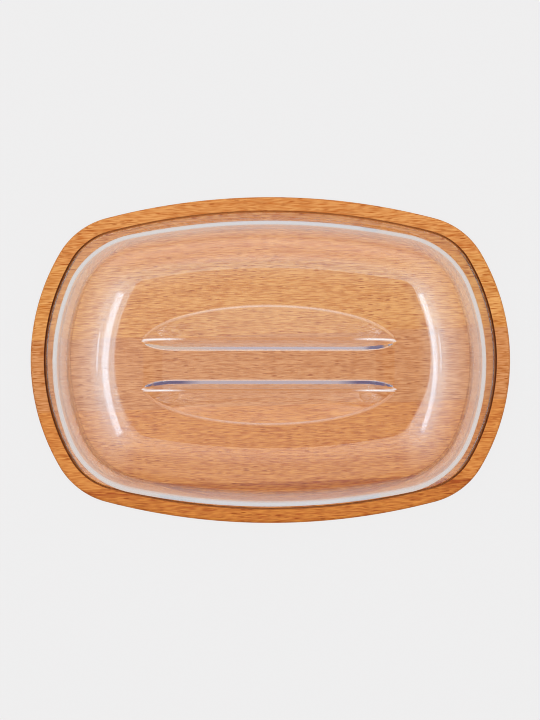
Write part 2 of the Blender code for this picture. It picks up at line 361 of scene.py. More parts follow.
def scoop_section(scoop, x):
    """Corners of a scoop at x, from the ridge to beyond the arc, as (y, height) pairs."""
    short = max(0.0, 1 - (scoop.tip_x - abs(x)) / scoop.end_rise)
    depth = scoop.depth * (1 - short ** 2) ** 1.25
    wall_y = scoop.foot_y - (scoop.foot_y - scoop.edge_y) * math.sqrt(max(0.0, 1 - short ** 2))
    bulge = scoop.arc_y - scoop.edge_y
    half_arc = scoop.tip_x / math.sqrt(1 - ((scoop.foot_y - scoop.edge_y) / bulge) ** 2)
    arc_y = scoop.edge_y + bulge * math.sqrt(1 - (x / half_arc) ** 2)
    room = min(1.0, depth / scoop.depth * 4)
    margin = SCOOP_MARGIN * room
    spare = [radius * 0.7 * room for radius in scoop.fillets]
    return [
        Vector((wall_y - margin - spare[0], 0.0)),
        Vector((wall_y, 0.0)),
        Vector((scoop.foot_y, -depth)),
        Vector((arc_y, 0.0)),
        Vector((arc_y + margin + spare[2], 0.0)),
    ]


def fold_haze_and_sheen(index, share, side):
    """Haze and painted highlight at a point of a section: on its folds, and a painted reflection on the back
    scoop's floor.
    """
    fold, step = divmod(index - FACE_STEPS, FACE_STEPS + FILLET_STEPS)
    on_floor = FLOOR_SHEEN * (side > 0)
    if fold == 1 and step >= FILLET_STEPS:
        return on_floor
    if step > FILLET_STEPS or not 0 <= fold <= 2:
        return 0.0
    crest = math.sin(math.pi * step / FILLET_STEPS)
    if fold == 0:
        return EDGE_HAZE_AND_SHEEN * (step == 0)
    if fold == 1:
        near_tip = min(1.0, max(0.0, (share - FOOT_HAZE_AND_SHEEN_FROM) / FOOT_HAZE_AND_SHEEN_BLEND))
        return FOOT_HAZE_AND_SHEEN * crest ** 2 * near_tip
    return ARC_HAZE_AND_SHEEN[side] * crest * (1 - 0.9 * share ** 2) + on_floor * (step == 0)


def join_scoop(body, scoop, flat_height, side):
    """Faces of one scoop, and the loop of points round it in the flat top."""
    haze_and_sheen = body.verts.layers.float["haze_and_sheen"]
    rows = []
    for station in range(SCOOP_STATIONS + 1):
        x = -scoop.tip_x * math.cos(math.pi * station / SCOOP_STATIONS)
        section = rounded_section(scoop_section(scoop, x), scoop.fillets)
        if station in (0, SCOOP_STATIONS):
            tip = body.verts.new((x, side * scoop.foot_y, flat_height))
            rows.append([tip] * len(section))
            continue
        row = [body.verts.new((x, side * p.x, flat_height + p.y)) for p in section]
        for index, vert in enumerate(row):
            vert[haze_and_sheen] = fold_haze_and_sheen(index, abs(x) / scoop.tip_x, side)
        rows.append(row)
    for row, after in zip(rows, rows[1:]):
        for k in range(len(row) - 1):
            corners = list(dict.fromkeys((row[k], after[k], after[k + 1], row[k + 1])))
            if len(corners) > 2:
                body.faces.new(corners)
    return [row[0] for row in rows] + [row[-1] for row in reversed(rows[1:-1])]


print(f"scoops {2000 * scoop_above.tip_x:.1f} mm long, {1000 * scoop_above.depth:.1f} mm deep")

# %% [markdown]
# ## The lid
# One closed skin: inside from the flat top down to the foot, round the flange, and up the outside.
# The flat faces are filled between the shoulder's last ring and the scoops. A moulded shoulder is
# never quite clear. More roughness would blur the wood below, so a little haze is written on its
# rings instead: a narrow band just above the wall, and a wide one higher up, most at the ends. The
# haze is also a painted reflection of the tent's cloth and strips, so there is more of it at the back
# than at the front.

# %% Build the lid
LID_LEVELS = {"outer": lid_top, "inner": lid_top - WALL_THICKNESS}
# Shares of white on the shoulder: haze, and a painted reflection of the tent, more at the ends and the back.
LOW_HAZE_AND_SHEEN = {"end": 0.08, "back": 0.06, "front": 0.04}
LOW_CLIMB = (0.24, 0.30, 0.40, 0.50)
HIGH_HAZE_AND_SHEEN = {"end": 0.11, "side": 0.03}
HIGH_CLIMB = (0.45, 0.75, 0.81, 1.0)
END_FROM = 0.085
END_BLEND = 0.020


def fill_flat(body, loops):
    """Fill a flat face that has holes, from the loops of points round it."""
    edges = []
    for loop in loops:
        for here, after in zip(loop, loop[1:] + loop[:1]):
            edge = body.edges.get((here, after)) or body.edges.new((here, after))
            edges.append(edge)
    filled = bmesh.ops.triangle_fill(body, edges=edges, use_beauty=True)["geom"]
    for edge in edges:
        edge.smooth = False
    return filled


def plateau(value, limits):
    """1 between the inner two of four limits, 0 outside the outer two, and slopes between."""
    rise = (value - limits[0]) / (limits[1] - limits[0])
    fall = (limits[3] - value) / (limits[3] - limits[2])
    return max(0.0, min(1.0, rise, fall))


def haze_and_sheen_shoulder(body, loops):
    """Write haze and painted reflection on the rings of the shoulder's outside, from the wall up to the flat
    top.
    """
    haze_and_sheen = body.verts.layers.float["haze_and_sheen"]
    for number, loop in enumerate(loops):
        climb = number / SHOULDER_STEPS
        low = plateau(climb, LOW_CLIMB)
        high = plateau(climb, HIGH_CLIMB)
        for vert in loop:
            ends = min(1.0, max(0.0, (abs(vert.co.x) - END_FROM) / END_BLEND))
            side = LOW_HAZE_AND_SHEEN["back" if vert.co.y > 0 else "front"]
            low_share = side + (LOW_HAZE_AND_SHEEN["end"] - side) * ends
            high_share = HIGH_HAZE_AND_SHEEN["side"] + (HIGH_HAZE_AND_SHEEN["end"] - HIGH_HAZE_AND_SHEEN["side"]) * ends
            vert[haze_and_sheen] = max(low * low_share, high * high_share)


def make_lid():
    body = bmesh.new()
    body.verts.layers.float.new("haze_and_sheen")
    inner = shoulder_rings(WALL_THICKNESS)
    inner_wall = wall_rings(flange_bottom + 2 * INNER_EDGE, inner[0][1], WALL_SKIN)
    outer_wall = wall_rings(flange_top + 2 * FOOT_FILLET, wall_top)
    rings = inner[::-1] + inner_wall[::-1] + flange_rings() + outer_wall + shoulder_rings()
    loops = join_rings(body, rings)
    haze_and_sheen_shoulder(body, loops[-SHOULDER_STEPS - 1:])
    scoops = {"outer": scoop_above, "inner": scoop_below(scoop_above)}
    for name, edge in (("outer", loops[-1]), ("inner", loops[0])):
        holes = [join_scoop(body, scoops[name], LID_LEVELS[name], side) for side in (1, -1)]
        fill_flat(body, [edge] + holes)
    for face in body.faces:
        face.smooth = True
    return piece_from(body, "clear_lid", sharp=None)


clear_lid = make_lid()
print("clear lid faces:", len(clear_lid.data.polygons))

# %% [markdown]
# ## The board
# The rim is rounded over, the groove is routed with a round-nosed cutter, and the middle of the
# board stays level with the rim. The whole board is drawn first, and parted into staves after. The
# rings of the groove's wall and of the first strip of its floor are counted, for the browned finish
# with its painted shade.

# %% Sections of the board
BOARD_EDGE = 0.0025
GROOVE_DEPTH = 0.004
GROOVE_EDGE = 0.0004
GROOVE_FILLET = 0.0006
# Width of the groove floor's first strip, at the ends and at the sides, that is browned and darkened with
# painted shade.
BROWNED_SHADED_FLOOR = (0.0021, 0.0014)
TABLE_EDGE = 0.0008
TABLE_GAP = 0.0016
table_outline = inset(wall_outline(board_top, WALL_SKIN), TABLE_GAP)


def board_rings():
    """Rings from the underside to the raised middle, and the numbers of the groove wall's rings."""
    floor = board_top - GROOVE_DEPTH
    rings = [(inset(board_outline, BOARD_EDGE + HAIR), 0.0)]
    rings += rolled(board_outline, BOARD_EDGE, BOARD_EDGE, -90, 0)
    rings += rolled(board_outline, board_top - BOARD_EDGE, BOARD_EDGE, 0, 90)
    rings.append((inset(board_outline, BOARD_EDGE + HAIR), board_top))
    rings.append((inset(groove_outline, -GROOVE_EDGE - HAIR), board_top))
    wall_start = len(rings) + 2
    rings += rolled(groove_outline, board_top - GROOVE_EDGE, GROOVE_EDGE, 90, 0, way=-1, steps=3)
    rings += rolled(groove_outline, floor + GROOVE_FILLET, GROOVE_FILLET, 0, -90, steps=3)
    rings.append((inset(groove_outline, *BROWNED_SHADED_FLOOR), floor))
    wall_stop = len(rings) - 1
    rings += rolled(table_outline, floor + GROOVE_FILLET, GROOVE_FILLET, -90, 0, way=-1, steps=3)
    rings += rolled(table_outline, board_top - TABLE_EDGE, TABLE_EDGE, 0, 90, steps=3)
    rings.append((inset(table_outline, TABLE_EDGE + HAIR), board_top))
    return rings, range(wall_start, wall_stop)


print("board rings:", len(board_rings()[0]))

# %% [markdown]
# ## Staves
# The five staves are one glued panel, so their faces meet without a gap. Each is the whole board
# cut along its two glue joints, and keeps its own object, because each has its own grain.

# %% Part the board into staves
JOINT_SLANT = math.radians(1.7)
GLUE_LINES = [0.0752, 0.0199, -0.0343, -0.0931]


def trim(body, y, keep):
    """Cut along the glue line that crosses the middle at y, and close the cut face."""
    normal = Vector((-math.sin(JOINT_SLANT), math.cos(JOINT_SLANT), 0.0)) * keep
    cut = bmesh.ops.bisect_plane(
        body,
        geom=body.verts[:] + body.edges[:] + body.faces[:],
        plane_co=Vector((0.0, y, 0.0)),
        plane_no=normal,
        clear_inner=True,
    )
    edges = [item for item in cut["geom_cut"] if isinstance(item, bmesh.types.BMEdge)]
    bmesh.ops.holes_fill(body, edges=edges, sides=0)


def make_stave(number):
    body = bmesh.new()
    rings, browned_shaded_groove = board_rings()
    loops = join_rings(body, rings)
    points = len(loops[0])
    body.faces.ensure_lookup_table()
    # The groove's wall and floor strip get the browned finish with its painted shade.
    for ring in browned_shaded_groove:
        for face in body.faces[ring * points:(ring + 1) * points]:
            face.material_index = 1
    body.faces.new(reversed(loops[0]))
    body.faces.new(loops[-1])
    if number > 1:
        trim(body, GLUE_LINES[number - 2], -1)
    if number < STAVES:
        trim(body, GLUE_LINES[number - 1], 1)
    return piece_from(body, f"beech_stave_{number}")


staves = [make_stave(number) for number in range(1, STAVES + 1)]
print("staves:", [len(stave.data.polygons) for stave in staves])

# %% [markdown]
# ## Node helpers
# Finishes are made of shader nodes. A short helper adds a node and plugs in its inputs, so that each
# finish reads as a list of what it is made of.

# %% Add shader nodes


def linear(red, green, blue):
    """A colour given as on a screen, 0 to 255, in the linear values that shaders use."""
    levels = []
    for level in (red, green, blue):
        share = level / 255
        levels.append(share / 12.92 if share <= 0.04045 else ((share + 0.055) / 1.055) ** 2.4)
    return (*levels, 1.0)


def new_finish(name):
    """An empty node material and its tree."""
    finish = bpy.data.materials.new(name)
    finish.use_nodes = True
    finish.node_tree.nodes.clear()
    return finish, finish.node_tree


def add(tree, kind, inputs=None, **settings):
    """A new node. Each input is a value, or the output of another node."""
    made = tree.nodes.new("ShaderNode" + kind)
    for name, value in settings.items():
        setattr(made, name, value)
    for name, value in (inputs or {}).items():
        if isinstance(value, bpy.types.NodeSocket):
            tree.links.new(value, made.inputs[name])
        else:
            made.inputs[name].default_value = value
    return made


def calculate(tree, operation, first, second=0.0, clamp=False):
    """A Math node's output."""
    inputs = {0: first, 1: second}
    return add(tree, "Math", inputs, operation=operation, use_clamp=clamp).outputs[0]


def blend_colours(tree, share, first, second):
    """A colour Mix node's output."""
    return add(tree, "Mix", {0: share, 6: first, 7: second}, data_type="RGBA").outputs[2]


def mix_levels(tree, share, first, second):
    """A Mix node's output, between two plain levels."""
    return add(tree, "Mix", {0: share, 2: first, 3: second}, data_type="FLOAT").outputs[0]


print(f"a middle grey on a screen is {linear(128, 128, 128)[0]:.3f} of white light")

# %% [markdown]
# ## Beech
# Oiled beech is warm and even, with soft streaks along the grain and many thin brown dashes, the ends
# of its rays. The pattern is solid, so the same nodes give long dashes on the faces and dots on the
# end grain. Bands, streaks and fibres are noise stretched along the grain. Dashes are sharp separate
# marks, so they come from stretched cells, one mark to a cell, and chance leaves some of them faint.
# Each stave has its own tone and its own place in the pattern, and the front one has a darker
# figure along its glue joint. The groove is browned by the cutter, most on end grain, and painted
# shade darkens it as the shadow in the gap round the lid's flange: its floor strip more than its long
# walls, and at the front and the ends more than at the back.

# %% Beech finish
Beech = namedtuple("Beech", "light dark dash fleck figure place heart")
HEART_BAND = (-0.1010, -0.0965)
HEART_SWAY = 0.006
GRAIN_SWAY = (0.0, 0.004, 0.004)
MIDDLE_TONE = 0.65


def stretched(tree, grain, along, across, detail):
    """Noise stretched along the grain, from its cycles per metre along and across."""
    place = add(tree, "Mapping", {"Vector": grain, "Scale": (along, across, across)}).outputs[0]
    return add(tree, "TexNoise", {"Vector": place, "Scale": 1.0, "Detail": detail}).outputs["Fac"]


def flecks(tree, grain, along, across, size):
    """Separate lens-shaped marks, one to a cell of a stretched pattern, some strong and some faint."""
    place = add(tree, "Mapping", {"Vector": grain, "Scale": (along, across, across)}).outputs[0]
    cells = add(tree, "TexVoronoi", {"Vector": place, "Scale": 1.0}).outputs
    limits = {0: cells["Distance"], 1: size, 2: size * 0.5, 3: 0.0, 4: 1.0}
    mark = add(tree, "MapRange", limits).outputs[0]
    chance = add(tree, "SeparateColor", {0: cells["Color"]}).outputs[0]
    strong = add(tree, "MapRange", {0: chance, 1: 0.4, 2: 1.0}).outputs[0]
    return calculate(tree, "MULTIPLY", mark, strong)


def swing(tree, noise, strength):
    """A noise centred on 0 and made stronger."""
    return calculate(tree, "MULTIPLY", calculate(tree, "SUBTRACT", noise, 0.5), strength)


def swayed(tree, place):
    """A place moved a little across the grain by slow noise, so that no line is ruled."""
    slow = add(tree, "Mapping", {"Vector": place, "Scale": (16.0, 36.0, 36.0)}).outputs[0]
    drift = add(tree, "TexNoise", {"Vector": slow, "Scale": 1.0, "Detail": 1.0}).outputs["Color"]
    centred = {0: drift, 1: (0.5, 0.5, 0.5)}
    centred = add(tree, "VectorMath", centred, operation="SUBTRACT").outputs[0]
    sway = {0: centred, 1: GRAIN_SWAY}
    sway = add(tree, "VectorMath", sway, operation="MULTIPLY").outputs[0]
    return add(tree, "VectorMath", {0: place, 1: sway}, operation="ADD").outputs[0]


def heart_figure(tree, place, bands, strength):
    """A darker figure along the front glue joint, with an uneven edge."""
    turned = {"Vector": place, "Rotation": (0.0, 0.0, -JOINT_SLANT)}
    across = add(tree, "SeparateXYZ", {0: add(tree, "Mapping", turned).outputs[0]}).outputs["Y"]
    across = calculate(tree, "ADD", across, swing(tree, bands, HEART_SWAY))
    limits = {0: across, 1: HEART_BAND[0], 2: HEART_BAND[1], 4: strength}
    return add(tree, "MapRange", limits).outputs[0]


def beech_finish(name, wood):
    finish, tree = new_finish(name)
    place = add(tree, "TexCoord").outputs["Object"]
    turn = {"Vector": place, "Location": wood.place, "Rotation": (0.0, 0.0, -JOINT_SLANT)}
    grain = swayed(tree, add(tree, "Mapping", turn).outputs[0])

    bands = stretched(tree, grain, 3.0, 60.0, 2.0)
    streaks = stretched(tree, grain, 14.0, 520.0, 1.0)
    fibres = stretched(tree, grain, 140.0, 1300.0, 0.0)
    side = calculate(tree, "ABSOLUTE", add(tree, "SeparateXYZ", {0: place}).outputs[0])
    ends = add(tree, "MapRange", {0: side, 1: 0.07, 2: 0.13, 3: 0.5, 4: 1.0}).outputs[0]
    short = flecks(tree, grain, 150.0, 900.0, wood.fleck)
    long = flecks(tree, grain, 60.0, 960.0, wood.fleck)
    dashes = calculate(tree, "MAXIMUM", short, calculate(tree, "MULTIPLY", long, ends))

    tone = calculate(tree, "ADD", swing(tree, streaks, 0.6), swing(tree, bands, wood.figure))
    tone = calculate(tree, "ADD", tone, swing(tree, fibres, 1.6))
    heart = heart_figure(tree, place, bands, wood.heart)
    tone = calculate(tree, "SUBTRACT", tone, heart)
    tone = calculate(tree, "ADD", tone, MIDDLE_TONE, clamp=True)
    colour = blend_colours(tree, tone, wood.dark, wood.light)
    colour = blend_colours(tree, dashes, colour, wood.dash)

    relief = calculate(tree, "SUBTRACT", calculate(tree, "MULTIPLY", fibres, 0.4), dashes)
    bump = add(tree, "Bump", {"Height": relief, "Strength": 0.2, "Distance": 0.0002}).outputs[0]
    rough = add(tree, "MapRange", {0: dashes, 3: 0.5, 4: 0.75}).outputs[0]
    shader = add(
        tree,
        "BsdfPrincipled",
        {"Base Color": colour, "Roughness": rough, "Normal": bump, "Specular IOR Level": 0.2},
    )
    output = add(tree, "OutputMaterial")
    tree.links.new(shader.outputs[0], output.inputs["Surface"])
    return finish


def browned_shaded_groove_finish():
    """The groove's routed wall and the first strip of its floor: browned by the cutter, and darkened with
    painted shade.
    """
    finish, tree = new_finish("browned_shaded_groove_beech")
    place = add(tree, "TexCoord").outputs["Object"]
    uneven = stretched(tree, place, 300.0, 300.0, 3.0)
    facing = add(tree, "SeparateXYZ", {0: add(tree, "NewGeometry").outputs["Normal"]}).outputs
    end_grain = calculate(tree, "POWER", calculate(tree, "ABSOLUTE", facing["X"]), 0.7)
    side = blend_colours(tree, uneven, linear(165, 98, 50), linear(205, 130, 72))
    end = blend_colours(tree, uneven, linear(66, 29, 11), linear(106, 51, 24))
    # Painted shade: the groove floor has a shaded colour for the front and the ends, and a lit copy for the
    # back.
    shaded = blend_colours(tree, uneven, linear(78, 36, 14), linear(122, 63, 30))
    sunny = blend_colours(tree, uneven, linear(135, 77, 40), linear(178, 108, 60))
    back = add(tree, "SeparateXYZ", {0: place}).outputs["Y"]
    back = add(tree, "MapRange", {0: back, 1: 0.07, 2: 0.11}).outputs[0]
    floor = blend_colours(tree, back, shaded, sunny)
    wall = blend_colours(tree, end_grain, side, end)
    colour = blend_colours(tree, calculate(tree, "MAXIMUM", facing["Z"], 0.0), wall, floor)
    bump = add(tree, "Bump", {"Height": uneven, "Strength": 0.3, "Distance": 0.0002}).outputs[0]
    rough = add(tree, "MapRange", {0: uneven, 3: 0.75, 4: 0.95}).outputs[0]
    shader = add(
        tree,
        "BsdfPrincipled",
        {"Base Color": colour, "Roughness": rough, "Normal": bump, "Specular IOR Level": 0.1},
    )
    output = add(tree, "OutputMaterial")
    tree.links.new(shader.outputs[0], output.inputs["Surface"])
    return finish


BEECH = [
    Beech(linear(195, 127, 66), linear(162, 78, 4), linear(143, 64, 3), 0.44, 0.7, (0.10, 0.31, 0.02), 0.0),
    Beech(linear(198, 134, 71), linear(165, 85, 6), linear(147, 68, 4), 0.44, 0.7, (0.73, 0.12, 0.05), 0.0),
    Beech(linear(187, 122, 72), linear(155, 79, 10), linear(140, 66, 8), 0.42, 0.5, (1.31, 0.57, 0.03), 0.0),
    Beech(linear(192, 120, 54), linear(156, 72, 3), linear(141, 61, 2), 0.44, 0.7, (1.92, 0.88, 0.07), 0.0),
    Beech(linear(183, 108, 40), linear(140, 57, 0), linear(122, 48, 0), 0.44, 0.9, (2.45, 0.26, 0.04), 0.36),
]
SLOTS = ["stave_back", "stave_mid_back", "stave_middle", "stave_mid_front", "stave_front"]

browned_shaded_groove = browned_shaded_groove_finish()
for number, (stave, wood, slot) in enumerate(zip(staves, BEECH, SLOTS), start=1):
    stave.data.materials.append(beech_finish(f"beech_{number}", wood))
    stave.data.materials.append(browned_shaded_groove)
    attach(stave, "board")
    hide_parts(f"board_stave_{number}")
print("beech finishes:", len(BEECH))

# %% [markdown]
# ## Clear plastic
# The lid is a clear, hard, glossy plastic. Light bends in its walls, so it is modelled with its real
# thickness and a refracting shader, and where there is haze or a painted highlight, a share of it is
# plain white instead.
# Lamps reach the wood through the lid as through thin air, which keeps the board clean and bright.
# Light that keeps bouncing inside the walls would need dozens of bounces, so after a few it takes a
# set tone, which changes along the grip ridge: pale in its middle, violet toward its ends but warm
# at the back on the left, and the wood's own tone at the scoops' tips, where one bounce is enough.

# %% Clear finish
PLASTIC_IOR = 1.57
MOST_BOUNCES = 2.5
TIP_BOUNCES = 0.5
TIP_ZONE = (0.068, 0.0802)
TIP_WIDTH = 0.0180
PALE_PIPED = (0.50, 0.41, 0.45, 1.0)
DEEP_PIPED = (0.15, 0.11, 0.20, 1.0)
WARM_PIPED = (0.64, 0.45, 0.35, 1.0)
TIP_PIPED = (0.60, 0.27, 0.11, 1.0)
FRONT_PIPED = [
    (-0.0745, TIP_PIPED), (-0.0725, DEEP_PIPED), (-0.0570, DEEP_PIPED), (-0.0440, PALE_PIPED),
    (0.0440, PALE_PIPED), (0.0570, DEEP_PIPED), (0.0725, DEEP_PIPED), (0.0745, TIP_PIPED),
]
BACK_PIPED = [
    (-0.0600, WARM_PIPED), (-0.0200, PALE_PIPED), (0.0610, PALE_PIPED),
    (0.0650, DEEP_PIPED), (0.0715, DEEP_PIPED), (0.0735, TIP_PIPED),
]
PIPED_REACH = 0.1


def colour_stops(tree, place, reach, stops):
    """A colour that changes along a line, from (place, colour) pairs within a reach of its middle."""
    share = calculate(tree, "DIVIDE", calculate(tree, "ADD", place, reach), 2 * reach)
    ramp = add(tree, "ValToRGB", {0: share})
    points = ramp.color_ramp.elements
    for number, (stop, colour) in enumerate(stops):
        point = points[number] if number < 2 else points.new(1.0)
        point.position = (stop + reach) / (2 * reach)
        point.color = colour
    return ramp.outputs[0]


def piped_light(tree, place):
    """The light that stays inside the plastic: pale along the ridge, violet or warm at its ends."""
    where = add(tree, "SeparateXYZ", {0: place}).outputs
    front = colour_stops(tree, where["X"], PIPED_REACH, FRONT_PIPED)
    back = colour_stops(tree, where["X"], PIPED_REACH, BACK_PIPED)
    return blend_colours(tree, calculate(tree, "GREATER_THAN", where["Y"], 0.0), front, back)


def bounce_limit(tree, place):
    """How many bounces light may take: fewer at the scoops' tips."""
    where = add(tree, "SeparateXYZ", {0: place}).outputs
    far = calculate(tree, "ABSOLUTE", where["X"])
    beyond = calculate(tree, "GREATER_THAN", far, TIP_ZONE[0])
    before = calculate(tree, "LESS_THAN", far, TIP_ZONE[1])
    beside = calculate(tree, "LESS_THAN", calculate(tree, "ABSOLUTE", where["Y"]), TIP_WIDTH)
    near_tip = calculate(tree, "MULTIPLY", calculate(tree, "MULTIPLY", beyond, before), beside)
    return mix_levels(tree, near_tip, MOST_BOUNCES, TIP_BOUNCES)


def clear_finish():
    finish, tree = new_finish("clear_plastic")
    place = add(tree, "TexCoord").outputs["Object"]
    ripple = add(tree, "TexNoise", {"Vector": place, "Scale": 28.0, "Detail": 1.0}).outputs["Fac"]
    bump = add(tree, "Bump", {"Height": ripple, "Strength": 0.05, "Distance": 0.0004}).outputs[0]
    # The share of white is haze, and in places a painted highlight or reflection.
    haze_and_sheen = add(tree, "Attribute", attribute_name="haze_and_sheen").outputs["Fac"]
    clear = calculate(tree, "SUBTRACT", 1.0, haze_and_sheen)
    shader = add(
        tree,
        "BsdfPrincipled",
        {
            "Base Color": (0.98, 0.985, 0.99, 1.0),
            "Roughness": 0.015,
            "IOR": PLASTIC_IOR,
            "Transmission Weight": clear,
            "Normal": bump,
        },
    )
    tone = add(tree, "Emission", {"Color": piped_light(tree, place), "Strength": 1.0})
    through = add(tree, "BsdfTransparent", {"Color": (1.0, 1.0, 1.0, 1.0)})
    path = add(tree, "LightPath").outputs
    spent = calculate(tree, "GREATER_THAN", path["Glossy Depth"], bounce_limit(tree, place))
    plastic = add(tree, "MixShader", {0: spent, 1: shader.outputs[0], 2: tone.outputs[0]})
    lit = calculate(tree, "MAXIMUM", path["Is Shadow Ray"], path["Is Diffuse Ray"])
    mix = add(tree, "MixShader", {0: lit, 1: plastic.outputs[0], 2: through.outputs[0]})
    output = add(tree, "OutputMaterial")
    tree.links.new(mix.outputs[0], output.inputs["Surface"])
    return finish


clear_lid.data.materials.append(clear_finish())
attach(clear_lid, "lid")
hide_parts("lid")
print(f"clear finish: index {PLASTIC_IOR}, set tone after {MOST_BOUNCES:.1f} bounces")

# %% [markdown]
# ## Floor
# A plain pale floor, which glows by itself so that it stays as even as paper under a light tent, with
# only a hint of shadow round the board. The lid mirrors it a little dimmer than the camera sees it,
# as cloth would be that hangs outside the picture.

# %% Lay the floor
FLOOR_SIZE = 40.0
FLOOR_GLOW = 0.975
MIRRORED_FLOOR = 0.84


def make_floor():
    body = bmesh.new()
    bmesh.ops.create_grid(body, x_segments=1, y_segments=1, size=FLOOR_SIZE / 2)
    floor = piece_from(body, "floor")
    finish, tree = new_finish("floor_paper")
    glow = add(tree, "Emission", {"Color": linear(238, 237, 237), "Strength": 1.0})
    paper = add(tree, "BsdfDiffuse", {"Color": (0.8, 0.8, 0.8, 1.0)})
    mirrored = add(tree, "LightPath").outputs["Is Glossy Ray"]
    level = mix_levels(tree, mirrored, 1.0, MIRRORED_FLOOR)
    tree.links.new(level, glow.inputs["Strength"])
    mix = add(tree, "MixShader", {0: FLOOR_GLOW, 1: paper.outputs[0], 2: glow.outputs[0]})
    output = add(tree, "OutputMaterial")
    tree.links.new(mix.outputs[0], output.inputs["Surface"])
    floor.data.materials.append(finish)
    return floor


floor = make_floor()
print(f"floor {FLOOR_SIZE:.0f} m wide")

# %% [markdown]
# ## Light
# The box stands in a light tent, which is drawn by direction: a dim opening overhead for the camera,
# cloth round it, cool near the opening and warm lower down, and a strip light over each end with a
# thin line of light beyond it. The strips draw the pale highlights on the lid's end shoulders, and
# the cloth draws the veil on all of them. Drawn lights have soft edges, which plain area lights
# don't. A broad lamp overhead adds the even light on the wood, and is hidden from reflections.

# %% Light tent
SIDE_GLOW = [
    (0, 1.3), (14, 1.7), (16, 2.6), (20, 2.6), (28, 2.6), (34, 2.5), (38, 2.1),
    (43, 1.4), (47, 0.95), (53, 0.8), (61, 0.7), (67, 0.6), (80, 0.6), (90, 0.5),
]
BACK_GLOW = [
    (0, 1.3), (23, 1.35), (26, 1.6), (30, 1.3), (34, 1.1), (39, 1.2), (44, 1.6),
    (52, 1.4), (58, 1.1), (64, 1.4), (75, 1.8), (84, 1.6), (90, 0.9),
]
FRONT_GLOW = [
    (0, 1.5), (17, 1.5), (20, 1.25), (28, 1.0), (36, 0.5),
    (51, 0.4), (57, 0.6), (70, 0.5), (78, 0.3), (90, 0.2),
]
OPENING_GLOW = 0.68
OPENING_SLOPE = 1.2
OPENING_MIDDLE = (0.082, 0.190)
OPENING_HALF = (0.366, 0.316)
OPENING_EDGE = (0.8, 1.25)
STRIP_SHIFT = 0.026
STRIP_CENTRE = 0.52
RIGHT_SQUEEZE = 1.35
STRIP_INNER = (0.421, 0.466)
STRIP_OUTER = (0.564, 0.670)
STRIP_ENDS = (-0.56, 0.52)
STRIP_SOFT = 0.06
STRIP_GLOW = 4.3
LINE_MIDDLE = 0.782
LINE_ENDS = (-0.06, 0.105)
LINE_SOFT = 0.03
LINE_HALF = 0.012
LINE_GLOW = 7.0
STRIP_TINT = (0.50, 0.76, 0.98, 1.0)
CLOTH_COOL = (0.62, 0.96, 1.15, 1.0)
CLOTH_WARM = (1.0, 0.96, 0.93, 1.0)
COOL_ABOVE = (math.radians(38), math.radians(52))
BRIGHTEST = 4.0
BOX_SIZE = 1.2
BOX_HEIGHT = 1.7
BOX_POWER = 14.9


def level_by_angle(tree, angle, stops):
    """A light level from a list of (angle from overhead in degrees, level) pairs."""
    ramp = add(tree, "ValToRGB", {0: calculate(tree, "DIVIDE", angle, math.pi / 2)})
    points = ramp.color_ramp.elements
    for number, (degrees, level) in enumerate(stops):
        point = points[number] if number < 2 else points.new(1.0)
        point.position = degrees / 90
        share = level / BRIGHTEST
        point.color = (share, share, share, 1.0)
    return calculate(tree, "MULTIPLY", ramp.outputs[0], BRIGHTEST)


def soft_step(tree, value, low, high, falling=False):
    """A smooth step from 0 to 1 between two limits, or from 1 to 0."""
    start, stop = (1.0, 0.0) if falling else (0.0, 1.0)
    inputs = {0: value, 1: low, 2: high, 3: start, 4: stop}
    return add(tree, "MapRange", inputs, interpolation_type="SMOOTHSTEP").outputs[0]


def between(tree, value, low, high, soft):
    """1 between two limits and 0 outside them, with soft edges."""
    rise = soft_step(tree, value, low - soft, low + soft)
    fall = soft_step(tree, value, high - soft, high + soft, falling=True)
    return calculate(tree, "MULTIPLY", rise, fall)


def cloth_light(tree, angle, side_share, is_back):
    """The cloth's level, blended between the two ends, the back and the front."""
    front = level_by_angle(tree, angle, FRONT_GLOW)
    back = level_by_angle(tree, angle, BACK_GLOW)
    ends = mix_levels(tree, is_back, front, back)
    return mix_levels(tree, side_share, ends, level_by_angle(tree, angle, SIDE_GLOW))


def strip_light(tree, x, y):
    """The level of the two strips and the thin lines, from where a direction meets a plane overhead."""
    offset = calculate(tree, "SUBTRACT", x, STRIP_SHIFT)
    out = calculate(tree, "ABSOLUTE", offset)
    turn = calculate(tree, "DIVIDE", y, calculate(tree, "MAXIMUM", out, 0.01))
    is_right = calculate(tree, "GREATER_THAN", offset, 0.0)
    squeeze = mix_levels(tree, is_right, 1.0, RIGHT_SQUEEZE)
    out = calculate(tree, "MULTIPLY", calculate(tree, "SUBTRACT", out, STRIP_CENTRE), squeeze)
    out = calculate(tree, "ADD", out, STRIP_CENTRE)
    rise = soft_step(tree, out, *STRIP_INNER)
    fall = soft_step(tree, out, *STRIP_OUTER, falling=True)
    strip = calculate(tree, "MULTIPLY", rise, fall)
    strip = calculate(tree, "MULTIPLY", strip, between(tree, turn, *STRIP_ENDS, STRIP_SOFT))
    line = between(tree, out, LINE_MIDDLE - LINE_HALF, LINE_MIDDLE + LINE_HALF, LINE_HALF)
    line = calculate(tree, "MULTIPLY", line, between(tree, y, *LINE_ENDS, LINE_SOFT))
    strip = calculate(tree, "MULTIPLY", strip, STRIP_GLOW)
    return calculate(tree, "ADD", strip, calculate(tree, "MULTIPLY", line, LINE_GLOW))


def outside_opening(tree, x, y):
    """0 in the opening overhead and 1 on the cloth, with rounded corners."""
    reach = []
    for place, middle, half in zip((x, y), OPENING_MIDDLE, OPENING_HALF):
        offset = calculate(tree, "DIVIDE", calculate(tree, "SUBTRACT", place, middle), half)
        reach.append(calculate(tree, "POWER", calculate(tree, "ABSOLUTE", offset), 4.0))
    return soft_step(tree, calculate(tree, "ADD", *reach), *OPENING_EDGE)


